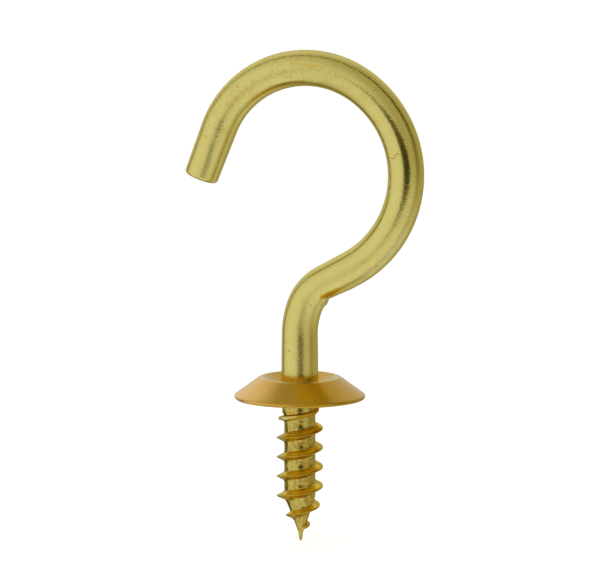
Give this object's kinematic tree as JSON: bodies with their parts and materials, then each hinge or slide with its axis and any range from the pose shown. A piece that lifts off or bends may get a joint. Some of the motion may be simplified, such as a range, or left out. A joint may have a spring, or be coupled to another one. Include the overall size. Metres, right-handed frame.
{
  "type": "cup hook",
  "caption": "Brass cup hook: a round wire bent to an open ring, a pressed dished collar on its shank, and a wood-screw thread with a gimlet point.",
  "frame": {"origin": "centre of the collar's seat, on the screw's axis", "axes": "+Z along the screw's axis, away from the wood and towards the hook; the wire is bent in the XZ plane, with the ring bulging to +X and its open mouth on -X; +Y across the wire"},
  "size_m": [0.0261, 0.0142, 0.0533],
  "materials": {
    "hook_brass": "satin pale yellow brass plate",
    "collar_brass": "satin warm brass plate"
  },
  "bodies": {
    "root": {"hook": "hook_brass", "collar": "collar_brass"}
  },
  "joints": []
}
